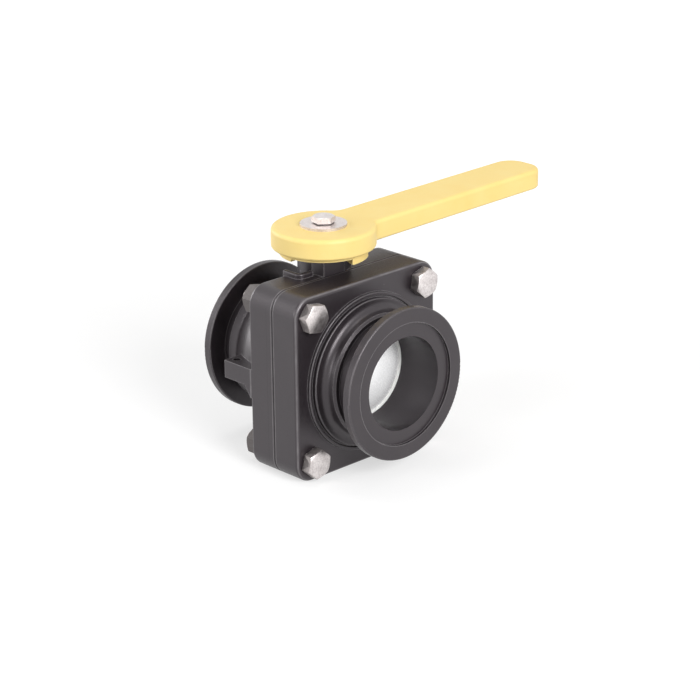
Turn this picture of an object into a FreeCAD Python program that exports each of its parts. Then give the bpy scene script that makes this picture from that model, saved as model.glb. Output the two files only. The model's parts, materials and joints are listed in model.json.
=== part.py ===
import FreeCAD, Part
import math
import os

import Sketcher
from FreeCAD import Placement, Rotation, Vector

# Manifold ball valve, full port, in millimetres.
# The flow axis runs along Y, the stem along Z, and the lever points along +X when the valve is shut.
# The origin lies on the flat underside, straight below the centre of the ball.
# Every size below is a cell of the sheet, and the sketches and features are bound to those cells.

SIZES = {
    # The two bolted plates
    "plate_side": (101.6, "outer side of both square plates"),
    "plate_corner": (10.5, "corner radius of the plates"),
    "front_plate": (17.9, "thickness of the front plate"),
    "rear_plate": (18.1, "thickness of the rear plate"),
    "split_distance": (14.3, "stem axis to the joint between the two halves"),
    "plate_edge": (2.0, "edge round on the outer faces of the plates"),
    "seam_edge": (0.8, "edge round on both sides of the joint"),
    # Flanged ends
    "bore": (50.8, "full port"),
    "flange_width": (82.55, "outer diameter of both manifold flanges"),
    "flange_thickness": (4.8, "flange, front to back"),
    "flange_edge": (0.7, "round on the flange rims"),
    "front_reach": (61.0, "stem axis to the front flange face"),
    "rear_reach": (51.8, "stem axis to the rear flange face"),
    "gasket_land": (7.8, "width of the gasket recess round the bore"),
    "gasket_depth": (1.6, "depth of the gasket recess"),
    "port_relief": (0.3, "depth of the relief between seat and port"),
    "port_clear": (1.5, "shut ball to the inner end of the port"),
    "groove_wall": (5.1, "neck wall in the clamp groove behind each flange"),
    "front_groove": (13.6, "length of the front clamp groove"),
    "rear_groove": (6.0, "length of the rear clamp groove"),
    "shoulder_step": (3.4, "step from the clamp groove up to the neck"),
    "shoulder_edge": (1.2, "round on the edge of the clamp groove"),
    "neck_draft": (0.7, "growth of the front neck radius towards the plate"),
    # Beads round the front neck
    "outer_bead": (86.4, "outer diameter of the outer bead"),
    "outer_bead_rise": (1.8, "outer bead above the plate"),
    "inner_bead_rise": (3.3, "inner bead above the plate"),
    "bead_wall": (2.0, "width of each bead"),
    "bead_gap": (0.9, "gap between the beads"),
    "bead_floor": (0.8, "floor of that gap above the plate"),
    "bead_edge": (0.6, "round on the beads"),
    "neck_blend": (4.0, "blend between the inner bead and the neck"),
    # Chamber behind the rear plate
    "chamber_wall": (6.1, "wall round the ball at the plate"),
    "chamber_bend": (82.4, "diameter of the chamber half way"),
    "chamber_bend_reach": (20.0, "stem axis to the bend in the chamber"),
    "chamber_round": (40.0, "round on the bend in the chamber"),
    "rear_neck": (7.5, "length of the rear neck in front of the clamp groove"),
    "rear_blend": (5.0, "blend between chamber and rear neck"),
    "lug_reach": (23.9, "stem axis to the rear end of the side lugs"),
    "lug_height": (9.8, "height of the side lugs"),
    "lug_inset": (16.0, "depth of the side lugs from the side of the plate"),
    "lug_hole": (4.2, "mounting hole in each side lug"),
    "lug_hole_edge": (5.2, "side of the plate to the mounting hole"),
    "lug_hole_reach": (19.8, "stem axis to the mounting hole"),
    "lug_gusset": (4.4, "gusset under the lug, along the flow"),
    "lug_gusset_drop": (6.3, "gusset under the lug, downwards"),
    # Bolts and nuts that hold the halves together
    "bolt_spacing": (80.2, "side of the square bolt pattern"),
    "bolt_width": (9.525, "thread diameter"),
    "bolt_length": (47.6, "under the head"),
    "bolt_flats": (14.29, "head and nut, across the flats"),
    "bolt_head": (5.7, "head height"),
    "nut_height": (8.3, "nut height"),
    "bolt_play": (0.4, "radial play of the bolts in their holes"),
    "thread_room": (0.02, "radial room between bolt and nut"),
    # Ball, seats and seals
    "ball_width": (78.8, "ball diameter"),
    "ball_play": (1.1, "radial room between ball and chamber wall"),
    "ball_mouth_edge": (0.8, "round on the mouths of the ball bore"),
    "seat_wall": (6.1, "wall of the seats"),
    "seat_length": (7.5, "length of the seats"),
    "seat_lip": (1.7, "seat behind the ball, at the bore"),
    "seat_play": (0.1, "radial room round a seat"),
    "seat_fit": (0.05, "running clearance between ball and seat"),
    "seat_ring_inset": (3.4, "port wall to the middle of the ring behind a seat"),
    "seat_ring_cord": (2.2, "cord of the ring behind a seat"),
    "joint_ring_inset": (4.0, "ball room to the middle of the ring between the halves"),
    "joint_ring_cord": (2.6, "cord of the ring between the halves"),
    "ring_room": (0.4, "room on each side of a ring in its groove"),
    "ring_fit": (0.02, "clearance of a ring at its groove floor"),
    # Stem, from the ball upwards
    "slot_floor": (5.4, "ball between its bore and the stem slot"),
    "tang_width": (9.5, "stem tang across the slot"),
    "tang_length": (23.0, "stem tang along the slot"),
    "tang_fit": (0.1, "clearance of the tang in the ball slot"),
    "collar_gap": (0.6, "gap between ball and stem collar"),
    "collar_width": (25.0, "diameter of the stem collar"),
    "collar_height": (3.4, "height of the stem collar"),
    "collar_play": (0.3, "radial room round the collar"),
    "thrust_height": (1.0, "thickness of the thrust washer"),
    "thrust_fit": (0.05, "running clearance above and below the thrust washer"),
    "stem_width": (19.0, "stem shaft diameter"),
    "stem_fit": (0.08, "radial running clearance of the stem in its bore"),
    "stem_groove": (2.1, "depth of the stem ring grooves"),
    "stem_ring_rise": (5.6, "collar to the middle of the lower stem ring"),
    "stem_ring_pitch": (5.8, "lower to upper stem ring"),
    "shaft_end": (4.4, "upper stem ring to the foot of the square drive"),
    "drive_side": (12.7, "side of the square drive"),
    "drive_height": (10.0, "height of the square drive"),
    "drive_fit": (0.1, "clearance of the drive in the handle"),
    "insert_width": (8.8, "diameter of the threaded insert"),
    "insert_length": (16.0, "length of the threaded insert"),
    # Top of the body
    "boss_width": (28.4, "diameter of the stem boss"),
    "boss_rise": (0.3, "top of the stem boss above the foot of the drive"),
    "wall_left": (13.6, "stem axis to the left end of the stop wall"),
    "wall_right": (1.2, "stem axis to the right end of the stop wall"),
    "wall_depth": (9.3, "stop wall, front to back"),
    "wall_slant": (0.333, "sideways slant of the stopping face, over its depth"),
    "rim_left": (26.0, "stem axis to the left side of the rim"),
    "rim_right": (16.0, "stem axis to the right end of the front rim"),
    "rim_front": (8.6, "stem axis to the front of the rim"),
    "rim_wall": (2.0, "thickness of the rim"),
    "rim_rise": (2.8, "rim above the top of the plate"),
    "rim_corner": (4.0, "corner radius of the rim"),
    "rim_edge": (0.9, "round on the outer top edge of the rim"),
    "pocket_drop": (3.1, "pocket inside the rim, below the top of the plate"),
    "open_stop_reach": (5.3, "opening stop beyond the boss"),
    "open_stop_span": (34.0, "angle that the opening stop covers"),
    # Handle
    "handle_gap": (0.5, "gap between boss and handle"),
    "step_width": (47.0, "diameter of the step under the hub"),
    "step_height": (2.2, "height of the step under the hub"),
    "hub_width": (55.8, "hub diameter"),
    "hub_height": (11.2, "hub plate, also the thickness of the lever"),
    "lever_reach": (160.3, "stem axis to the tip of the lever"),
    "lever_width": (29.6, "lever width at the hub"),
    "tip_width": (28.7, "lever width at the tip"),
    "tip_corner": (11.4, "corner radius of the tip"),
    "tip_rise": (1.8, "rise of the lever from hub to tip"),
    "lever_blend": (8.0, "blend between hub and lever"),
    "hub_edge": (2.2, "round on the handle, top edge"),
    "under_edge": (1.3, "round on the handle, lower edge"),
    "core_start": (36.0, "stem axis to the first cell under the lever"),
    "core_tip": (12.3, "last cell to the tip of the lever"),
    "core_wall": (4.0, "side wall beside the cells"),
    "core_skin": (3.2, "lever above the cells"),
    "core_rib": (2.6, "rib between two cells"),
    "tab_wall": (8.7, "width of the stop tab"),
    "tab_play": (0.6, "radial room between stop tab and boss"),
    "tab_drop": (3.1, "stop tab below the step"),
    "tab_end": (50.0, "angle from the lever to the far end of the tab"),
    "tab_gap": (0.3, "gap between tab and stop wall when shut"),
    "lip_play": (0.8, "radial room between the lip under the hub and the corner of the stop wall"),
    "lip_wall": (3.0, "width of that lip"),
    "lip_drop": (1.5, "lip below the step"),
    "lip_span": (35.0, "angle that the lip covers, from the side opposite to the lever backwards"),
    "socket_room": (0.3, "room above the drive in its socket"),
    "web_hole": (7.0, "bolt hole in the web above the socket"),
    # Handle fastening
    "washer_width": (25.0, "flat washer, outer diameter"),
    "washer_height": (1.4, "flat washer thickness"),
    "lock_width": (10.6, "lock washer, outer diameter"),
    "lock_height": (0.6, "lock washer thickness"),
    "lock_gap": (1.0, "split in the lock washer"),
    "screw_width": (6.35, "handle bolt thread"),
    "screw_length": (15.9, "handle bolt under the head"),
    "screw_flats": (11.11, "handle bolt head across the flats"),
    "screw_head": (3.2, "handle bolt head height"),
    "screw_play": (0.15, "radial room of the bolt in washers and insert"),
    # Angles and allowances
    "opening": (90.0, "turn of the handle from shut to open"),
    "head_chamfer": (0.95, "flat end of a hexagon, as a share of its flats"),
    "head_slope": (1.732, "run of the turned corners of a hexagon, over their height"),
    "overlap": (2.0, "how far one feature runs into the next"),
}
CORE_CELLS = 5


class Dim:
    """A size as text for the sheet's expressions, with its number."""

    def __init__(self, text, number):
        self.text = text
        self.number = number

    @staticmethod
    def of(value):
        return value if isinstance(value, Dim) else Dim(repr(float(value)), float(value))

    def _join(self, sign, other, number):
        return Dim("(%s %s %s)" % (self.text, sign, other.text), number)

    def __add__(self, other):
        other = Dim.of(other)
        return self._join("+", other, self.number + other.number)

    def __sub__(self, other):
        other = Dim.of(other)
        return self._join("-", other, self.number - other.number)

    def __mul__(self, other):
        other = Dim.of(other)
        return self._join("*", other, self.number * other.number)

    def __truediv__(self, other):
        other = Dim.of(other)
        return self._join("/", other, self.number / other.number)

    def __neg__(self):
        return Dim("(-1 * %s)" % self.text, -self.number)

    def _apply(self, function, unit, number):
        return Dim("%s(%s%s)" % (function, self.text, unit), number)

    def sqrt(self):
        return self._apply("sqrt", "", math.sqrt(self.number))

    def cos(self):
        return self._apply("cos", " * 1 deg", math.cos(math.radians(self.number)))

    def sin(self):
        return self._apply("sin", " * 1 deg", math.sin(math.radians(self.number)))


doc = FreeCAD.newDocument("manifold_ball_valve")
sheet = doc.addObject("Spreadsheet::Sheet", "Sizes")


def fill_sheet():
    for row, (name, (value, note)) in enumerate(SIZES.items(), start=1):
        sheet.set("A%d" % row, name)
        sheet.set("B%d" % row, str(value))
        sheet.setAlias("B%d" % row, name)
        sheet.set("C%d" % row, note)
    doc.recompute()


def size(name):
    return Dim("Sizes." + name, float(sheet.get(name)))


def bind(target, prop, value):
    """Ties a property to a size; a bare number is set as it is."""
    if isinstance(value, Dim):
        target.setExpression(prop, value.text)
        return
    setattr(target, prop, value)


# Sketches and features

SMALL = 1e-7


def new_body(name):
    body = doc.addObject("PartDesign::Body", name)
    body.Label = name
    body.setExpression("Placement.Base.z", (size("plate_side") / 2).text)
    return body


def origin_plane(body, role):
    return [item for item in body.Origin.OriginFeatures if item.Role == role][0]


def new_sketch(body, name, role, offset=None):
    sketch = body.newObject("Sketcher::SketchObject", name)
    sketch.AttachmentSupport = [(origin_plane(body, role), "")]
    sketch.MapMode = "FlatFace"
    if offset is not None:
        sketch.setExpression("AttachmentOffset.Base.z", offset.text)
    return sketch


def pin(sketch, geometry, end, right, up):
    """Fixes one sketch point at a place that follows the sheet."""
    for kind, axis, value in (("DistanceX", -2, right), ("DistanceY", -1, up)):
        value = Dim.of(value)
        if abs(value.number) < SMALL:
            sketch.addConstraint(Sketcher.Constraint("PointOnObject", geometry, end, axis))
            continue
        index = sketch.addConstraint(
            Sketcher.Constraint(kind, -1, 1, geometry, end, value.number))
        sketch.setExpression("Constraints[%d]" % index, value.text)


def add_polygon(sketch, points):
    """A closed outline through points whose places are bound to the sheet."""
    points = [(Dim.of(right), Dim.of(up)) for right, up in points]
    spots = [Vector(right.number, up.number, 0) for right, up in points]
    first = sketch.GeometryCount
    count = len(points)
    for index in range(count):
        sketch.addGeometry(Part.LineSegment(spots[index], spots[(index + 1) % count]), False)
    for index in range(count):
        after = first + (index + 1) % count
        sketch.addConstraint(Sketcher.Constraint("Coincident", first + index, 2, after, 1))
    for index, (right, up) in enumerate(points):
        pin(sketch, first + index, 1, right, up)


def add_circle(sketch, radius, right=0.0, up=0.0):
    right, up = Dim.of(right), Dim.of(up)
    place = Vector(right.number, up.number, 0)
    index = sketch.addGeometry(Part.Circle(place, Vector(0, 0, 1), radius.number), False)
    fixed = sketch.addConstraint(Sketcher.Constraint("Radius", index, radius.number))
    sketch.setExpression("Constraints[%d]" % fixed, radius.text)
    pin(sketch, index, 3, right, up)


def add_rectangle(sketch, left, right, low, high):
    add_polygon(sketch, [(left, low), (right, low), (right, high), (left, high)])


def finish_feature(body, feature):
    body.Tip = feature
    doc.recompute()
    return feature


def pad(body, name, sketch, length, backwards=False, both=False):
    feature = body.newObject("PartDesign::Pad", name)
    feature.Profile = sketch
    bind(feature, "Length", length)
    feature.Reversed = backwards
    if both:
        feature.SideType = "Symmetric"
    sketch.Visibility = False
    return finish_feature(body, feature)


def pocket(body, name, sketch, length, backwards=False, both=False):
    feature = body.newObject("PartDesign::Pocket", name)
    feature.Profile = sketch
    bind(feature, "Length", length)
    feature.Reversed = backwards
    if both:
        feature.SideType = "Symmetric"
    before = body.Shape.Volume
    finish_feature(body, feature)
    if feature.Shape.Volume > before - SMALL:
        raise ValueError("%s cuts nothing" % name)
    return feature


def turned(body, name, kind, sketch, axis, angle=360.0, backwards=False):
    """A revolved feature, kind Revolution or Groove, about an axis of its sketch."""
    feature = body.newObject("PartDesign::" + kind, name)
    feature.Profile = sketch
    feature.ReferenceAxis = (sketch, [axis])
    bind(feature, "Angle", angle)
    feature.Reversed = backwards
    return finish_feature(body, feature)


def round_edges(body, name, base, chosen, radius, kind="Fillet"):
    """Rounds the edges of base that the test picks."""
    names = ["Edge%d" % (index + 1) for index, edge in enumerate(base.Shape.Edges) if chosen(edge)]
    if not names:
        raise ValueError("%s has no edges" % name)
    feature = body.newObject("PartDesign::" + kind, name)
    feature.Base = (base, names)
    bind(feature, "Radius" if kind == "Fillet" else "Size", radius)
    return finish_feature(body, feature)


def spots_on(edge):
    """Three places along an edge, in the frame of its own body."""
    first, last = edge.FirstParameter, edge.LastParameter
    return [edge.valueAt(first + (last - first) * share) for share in (0.02, 0.5, 0.98)]


def runs_along(edge, axis):
    ends = spots_on(edge)
    step = ends[2] - ends[0]
    other = [abs(value) for index, value in enumerate(step) if index != axis]
    return edge.Curve.TypeId == "Part::GeomLine" and max(other) < SMALL * 100


def level(edge, axis, value):
    return all(abs(place[axis] - value) < 1e-4 for place in spots_on(edge))


# Places worked out from the sizes

def half_side():
    return size("plate_side") / 2


def plate_back():
    return size("rear_plate") - size("split_distance")


def ball_room():
    return size("ball_width") / 2 + size("ball_play")


def seat_radius():
    return size("bore") / 2 + size("seat_wall")


def seat_back():
    """The ball meets the bore's edge here, plus the lip of the seat."""
    ball, bore = size("ball_width") / 2, size("bore") / 2
    return (ball * ball - bore * bore).sqrt() + size("seat_lip")


def seat_ring_radius():
    return size("bore") / 2 + size("seat_ring_inset")


def joint_ring_radius():
    return ball_room() + size("joint_ring_inset")


def groove_radius():
    return size("bore") / 2 + size("groove_wall")


def shoulder_radius():
    return groove_radius() + size("shoulder_step")


def slot_floor():
    return size("bore") / 2 + size("slot_floor")


def tang_base():
    return slot_floor() + size("tang_fit") * 2


def collar_base():
    return size("ball_width") / 2 + size("collar_gap")


def collar_top():
    return collar_base() + size("collar_height")


def collar_ceiling():
    return collar_top() + size("thrust_height") + size("thrust_fit") * 2


def lower_ring():
    return collar_top() + size("stem_ring_rise")


def upper_ring():
    return lower_ring() + size("stem_ring_pitch")


def stem_ring_cord():
    """The stem rings fill the room between groove floor and bore."""
    return size("stem_groove") + size("stem_fit") - size("ring_fit") * 2


def drive_base():
    return upper_ring() + size("shaft_end")


def drive_top():
    return drive_base() + size("drive_height")


def boss_top():
    return drive_base() + size("boss_rise")


def step_base():
    return boss_top() + size("handle_gap")


def hub_base():
    return step_base() + size("step_height")


def hub_top():
    return hub_base() + size("hub_height")


# Housing


def bolt_places():
    reach = size("bolt_spacing") / 2
    return [(sign_x, sign_z, reach) for sign_x in (-1, 1) for sign_z in (1, -1)]


def signed(sign, value):
    return value if sign > 0 else -value


def add_plate(body, thickness, backwards, outer_place):
    """The square plate from the joint outwards, with its rounded corners and edges."""
    sketch = new_sketch(body, body.Name + "_plate_outline", "XZ_Plane", size("split_distance"))
    half = half_side()
    add_rectangle(sketch, -half, half, -half, half)
    plate = pad(body, body.Name + "_plate", sketch, thickness, backwards)
    corners = round_edges(body, body.Name + "_corners", plate, lambda edge: runs_along(edge, 1),
                          size("plate_corner"))
    outer = round_edges(body, body.Name + "_outer_edge", corners,
                        lambda edge: level(edge, 1, outer_place.number), size("plate_edge"))
    seam = -size("split_distance").number
    return round_edges(body, body.Name + "_seam_edge", outer, lambda edge: level(edge, 1, seam),
                       size("seam_edge"))


def cut_bolt_holes(body, backwards, depth):
    sketch = new_sketch(body, body.Name + "_bolt_circles", "XZ_Plane", size("split_distance"))
    radius = size("bolt_width") / 2 + size("bolt_play")
    for sign_x, sign_z, reach in bolt_places():
        add_circle(sketch, radius, signed(sign_x, reach), signed(sign_z, reach))
    return pocket(body, body.Name + "_bolt_holes", sketch, depth, backwards)


def port_outline(side, reach):
    """Seat pocket, ring groove, relief, port and gasket recess of one end; side is -1 in front."""
    bore = size("bore") / 2
    seat = seat_radius() + size("seat_play")
    back = seat_back() + size("ring_fit")
    middle, half = seat_ring_radius(), size("seat_ring_cord") / 2 + size("ring_room")
    ring_floor = back + size("seat_ring_cord")
    relief, port = bore + size("port_relief"), size("ball_width") / 2 + size("port_clear")
    gasket = bore + size("gasket_land")
    gasket_floor = reach - size("gasket_depth")
    start = seat_back() - size("seat_length") - size("overlap") * 2
    beyond = reach + size("overlap")
    line = [(start, 0), (start, seat), (back, seat), (back, middle + half),
            (ring_floor, middle + half), (ring_floor, middle - half), (back, middle - half),
            (back, relief), (port, relief), (port, bore), (gasket_floor, bore), (gasket_floor, gasket),
            (beyond, gasket), (beyond, 0)]
    return [(signed(side, along), -Dim.of(radius)) for along, radius in line]


def cut_inside(body, side, reach):
    """The room for the ball, then everything along the flow axis."""
    room = body.newObject("PartDesign::SubtractiveSphere", body.Name + "_ball_room")
    bind(room, "Radius", ball_room())
    finish_feature(body, room)
    sketch = new_sketch(body, body.Name + "_port_outline", "YZ_Plane")
    add_polygon(sketch, port_outline(side, reach))
    return turned(body, body.Name + "_port", "Groove", sketch, "H_Axis")


def flange_edges(body, base, reach):
    """Rounds both rims of the flange."""
    rim = size("flange_width").number / 2

    def on_rim(edge):
        on_circle = all(abs(math.hypot(place.x, place.z) - rim) < 1e-4 for place in spots_on(edge))
        return on_circle and not runs_along(edge, 1)
    return round_edges(body, body.Name + "_flange_edge", base, on_rim, size("flange_edge"))


def make_body_front():
    """End cap: square plate, two beads, neck, clamp groove and flange."""
    body = new_body("body_front")
    face = size("split_distance") + size("front_plate")
    add_plate(body, size("front_plate"), False, -face)

    outer, wall = size("outer_bead") / 2, size("bead_wall")
    inner = outer - wall - size("bead_gap")
    floor = face + size("bead_floor")
    crest, inner_crest = face + size("outer_bead_rise"), face + size("inner_bead_rise")
    shoulder, groove = shoulder_radius(), groove_radius()
    flange = size("flange_width") / 2
    reach, edge = size("front_reach"), size("shoulder_edge")
    flange_back = reach - size("flange_thickness")
    groove_end = flange_back - size("front_groove")
    line = [
        (face - size("overlap"), 0), (face - size("overlap"), outer), (crest, outer),
        (crest, outer - wall), (floor, outer - wall), (floor, inner), (inner_crest, inner),
        (inner_crest, shoulder + size("neck_draft")), (groove_end - edge, shoulder),
        (groove_end, shoulder - edge), (groove_end, groove), (flange_back, groove),
        (flange_back, flange), (reach, flange), (reach, 0)]
    sketch = new_sketch(body, "front_neck_outline", "YZ_Plane")
    add_polygon(sketch, [(-along, -Dim.of(radius)) for along, radius in line])
    neck = turned(body, "front_neck", "Revolution", sketch, "H_Axis")
    low = (inner - wall).number

    def on_crest(ridge):
        place = spots_on(ridge)[1]
        raised = level(ridge, 1, -crest.number) or level(ridge, 1, -inner_crest.number)
        return raised and math.hypot(place.x, place.z) > low

    def at_neck_foot(ridge):
        place = spots_on(ridge)[1]
        return level(ridge, 1, -inner_crest.number) and math.hypot(place.x, place.z) < low
    beads = round_edges(body, "front_bead_edge", neck, on_crest, size("bead_edge"))
    blend = round_edges(body, "front_neck_blend", beads, at_neck_foot, size("neck_blend"))
    flange_edges(body, blend, reach)
    cut_inside(body, -1, reach)
    cut_joint_groove(body)
    cut_bolt_holes(body, True, size("front_plate") + size("overlap"))
    return body


def cut_joint_groove(body):
    """The groove for the ring between the halves, in the face of the front half."""
    middle, cord = joint_ring_radius(), size("joint_ring_cord")
    half = cord / 2 + size("ring_room")
    joint = -size("split_distance")
    low, high = -middle - half, half - middle
    sketch = new_sketch(body, "joint_groove_outline", "YZ_Plane")
    add_rectangle(sketch, joint - cord, joint + size("overlap"), low, high)
    return turned(body, "joint_groove", "Groove", sketch, "H_Axis")


def add_chamber(body):
    """The chamber behind the rear plate, its clamp groove and the rear flange."""
    wide, bend = ball_room() + size("chamber_wall"), size("chamber_bend") / 2
    shoulder, groove = shoulder_radius(), groove_radius()
    flange = size("flange_width") / 2
    reach, edge = size("rear_reach"), size("shoulder_edge")
    flange_front = reach - size("flange_thickness")
    groove_start = flange_front - size("rear_groove")
    neck_start = groove_start - size("rear_neck")
    line = [
        (0, 0), (0, wide), (plate_back(), wide), (size("chamber_bend_reach"), bend),
        (neck_start, shoulder), (groove_start - edge, shoulder), (groove_start, shoulder - edge),
        (groove_start, groove), (flange_front, groove), (flange_front, flange), (reach, flange),
        (reach, 0)]
    sketch = new_sketch(body, "rear_chamber_outline", "YZ_Plane")
    add_polygon(sketch, [(along, -Dim.of(radius)) for along, radius in line])
    chamber = turned(body, "rear_chamber", "Revolution", sketch, "H_Axis")
    bend_place = size("chamber_bend_reach").number
    bent = round_edges(body, "rear_chamber_round", chamber,
                       lambda ridge: level(ridge, 1, bend_place), size("chamber_round"))
    blend = round_edges(body, "rear_neck_blend", bent,
                        lambda ridge: level(ridge, 1, neck_start.number), size("rear_blend"))
    return flange_edges(body, blend, reach)


def add_lugs(body):
    """A mounting lug on each side, flush with the plate, with a gusset below."""
    half = half_side()
    inside = half - size("lug_inset")
    sketch = new_sketch(body, "lug_outline", "XY_Plane")
    for sign in (-1, 1):
        add_polygon(sketch, [(signed(sign, inside), 0), (signed(sign, half), 0),
                             (signed(sign, half), size("lug_reach")),
                             (signed(sign, inside), size("lug_reach"))])
    pad(body, "lugs", sketch, size("lug_height"), both=True)

    back, low = plate_back(), -size("lug_height") / 2
    sketch = new_sketch(body, "gusset_outline", "YZ_Plane")
    add_polygon(sketch, [(0, low), (back + size("lug_gusset"), low),
                         (back, low - size("lug_gusset_drop")),
                         (0, low - size("lug_gusset_drop"))])
    pad(body, "gussets", sketch, size("plate_side"), both=True)

    sketch = new_sketch(body, "lug_hole_circles", "XY_Plane")
    for sign in (-1, 1):
        add_circle(sketch, size("lug_hole") / 2, signed(sign, half - size("lug_hole_edge")),
                   size("lug_hole_reach"))
    return pocket(body, "lug_holes", sketch, size("lug_height") + size("overlap"), both=True)


def add_rim(body):
    """The low rim and its pocket to the left of the stem boss."""
    half = half_side()
    back = plate_back()
    left, right, front = size("rim_left"), size("rim_right"), size("rim_front")
    wall = size("rim_wall")
    depth = size("rim_rise") + size("pocket_drop")
    sketch = new_sketch(body, "rim_outline", "XY_Plane", half - size("overlap"))
    add_rectangle(sketch, -left, -right, -front, back)
    rim = pad(body, "rim", sketch, size("rim_rise") + size("overlap"))

    def upright_corner(edge):
        place = spots_on(edge)[1]
        return (runs_along(edge, 2) and abs(place.x + left.number) < 1e-4
                and abs(place.y + front.number) < 1e-4)
    cornered = round_edges(body, "rim_corner_round", rim, upright_corner, size("rim_corner"))
    top = (half + size("rim_rise")).number

    def rim_edge(edge):
        return level(edge, 2, top) and not level(edge, 1, back.number) and not level(edge, 0, -right.number)
    round_edges(body, "rim_outer_round", cornered, rim_edge, size("rim_edge"))

    sketch = new_sketch(body, "rim_pocket_outline", "XY_Plane", half + size("rim_rise"))
    add_rectangle(sketch, wall - left, -size("wall_left") + size("overlap"), wall - front,
                  back + size("overlap"))
    return pocket(body, "rim_pocket", sketch, depth)


def wall_face(place, gap):
    """How far right the slanted stopping face lies, at a distance in front of the stem axis."""
    return size("wall_right") + (size("split_distance") - place) * size("wall_slant") + gap


def add_stem_boss(body):
    """The stem boss, the stop wall in front of it and the opening stop behind it."""
    top = boss_top()
    foot = half_side() - size("pocket_drop") - size("overlap")
    base = size("ball_width") / 2
    boss = size("boss_width") / 2
    sketch = new_sketch(body, "boss_circle", "XY_Plane", base)
    add_circle(sketch, boss)
    pad(body, "boss", sketch, top - base)

    front, left = size("split_distance"), size("wall_left")
    back = front - size("wall_depth")
    sketch = new_sketch(body, "stop_wall_outline", "XY_Plane", foot)
    add_polygon(sketch, [(-left, -front), (wall_face(front, 0), -front), (wall_face(back, 0), -back),
                         (-left, -back)])
    pad(body, "stop_wall", sketch, top - foot)

    near, far = boss - size("overlap"), boss + size("open_stop_reach")
    start = open_stop_angle(far)
    end = start + size("open_stop_span")
    corners = [(near, start), (far, start), (far, end), (near, end)]
    sketch = new_sketch(body, "open_stop_outline", "XY_Plane", base)
    add_polygon(sketch, [(turn.cos() * reach, turn.sin() * reach) for reach, turn in corners])
    return pad(body, "open_stop", sketch, top - base)


def open_stop_angle(reach):
    """The opening stop meets the far end of the tab after the full turn."""
    gap = size("tab_gap") / reach * math.degrees(1.0)
    return size("opening") - size("tab_end") + gap


def cut_stem_bore(body):
    top = boss_top()
    sketch = new_sketch(body, "stem_bore_circle", "XY_Plane", top)
    add_circle(sketch, size("stem_width") / 2 + size("stem_fit"))
    pocket(body, "stem_bore", sketch, top - tang_base())
    sketch = new_sketch(body, "collar_room_circle", "XY_Plane", collar_ceiling())
    add_circle(sketch, size("collar_width") / 2 + size("collar_play"))
    return pocket(body, "collar_room", sketch, collar_ceiling() - tang_base())


def cut_ball_way(body):
    """The ball goes in from the joint."""
    sketch = new_sketch(body, "ball_way_outline", "YZ_Plane")
    add_rectangle(sketch, -size("split_distance") - size("overlap"), 0, -ball_room(), 0)
    return turned(body, "ball_way", "Groove", sketch, "H_Axis")


def make_body_rear():
    """Main housing: square plate, chamber, lugs, rim, stem boss, stops and rear flange."""
    body = new_body("body_rear")
    add_plate(body, size("rear_plate"), True, plate_back())
    add_chamber(body)
    add_lugs(body)
    add_rim(body)
    add_stem_boss(body)
    cut_inside(body, 1, size("rear_reach"))
    cut_ball_way(body)
    cut_stem_bore(body)
    cut_bolt_holes(body, False, size("rear_plate") + size("overlap"))
    return body


# Ball and stem

def make_ball():
    """The ball with its full bore across the flow when shut, and the slot for the stem."""
    body = new_body("ball")
    sphere = body.newObject("PartDesign::AdditiveSphere", "ball_sphere")
    bind(sphere, "Radius", size("ball_width") / 2)
    finish_feature(body, sphere)
    sketch = new_sketch(body, "ball_bore_circle", "YZ_Plane")
    add_circle(sketch, size("bore") / 2)
    bored = pocket(body, "ball_bore", sketch, size("ball_width") + size("overlap"), both=True)
    mouth = size("bore").number / 2

    def is_mouth(edge):
        places = spots_on(edge)
        off_centre = abs(places[0].x) > mouth * 0.5
        return off_centre and all(abs(math.hypot(place.y, place.z) - mouth) < 1e-4 for place in places) \
            and not runs_along(edge, 0)
    round_edges(body, "ball_mouths", bored, is_mouth, size("ball_mouth_edge"))
    sketch = new_sketch(body, "ball_slot_outline", "XZ_Plane")
    half = size("tang_width") / 2 + size("tang_fit")
    add_rectangle(sketch, -half, half, slot_floor(), size("ball_width") / 2 + size("overlap"))
    pocket(body, "ball_slot", sketch, size("ball_width") + size("overlap"), both=True)
    return body


def make_stem():
    """The stem: tang, collar, shaft with two ring grooves, square drive and insert hole."""
    body = new_body("stem")
    shaft, collar = size("stem_width") / 2, size("collar_width") / 2
    groove = shaft - size("stem_groove")
    half_groove = stem_ring_cord() / 2 + size("ring_room")
    line = [(0, collar_base()), (collar, collar_base()), (collar, collar_top()), (shaft, collar_top())]
    for middle in (lower_ring(), upper_ring()):
        low, high = middle - half_groove, middle + half_groove
        line += [(shaft, low), (groove, low), (groove, high), (shaft, high)]
    line += [(shaft, drive_base()), (0, drive_base())]
    sketch = new_sketch(body, "stem_outline", "XZ_Plane")
    add_polygon(sketch, line)
    turned(body, "stem_shaft", "Revolution", sketch, "V_Axis")

    sketch = new_sketch(body, "tang_outline", "XY_Plane", tang_base())
    add_rectangle(sketch, -size("tang_width") / 2, size("tang_width") / 2,
                  -size("tang_length") / 2, size("tang_length") / 2)
    pad(body, "tang", sketch, collar_base() - tang_base() + size("overlap"))

    side = size("drive_side") / 2
    sketch = new_sketch(body, "drive_outline", "XY_Plane", drive_base() - size("overlap"))
    add_rectangle(sketch, -side, side, -side, side)
    pad(body, "drive", sketch, size("drive_height") + size("overlap"))

    sketch = new_sketch(body, "insert_hole_circle", "XY_Plane", drive_top())
    add_circle(sketch, size("insert_width") / 2)
    pocket(body, "insert_hole", sketch, size("insert_length"))
    return body


# Round pieces made of primitives

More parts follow.
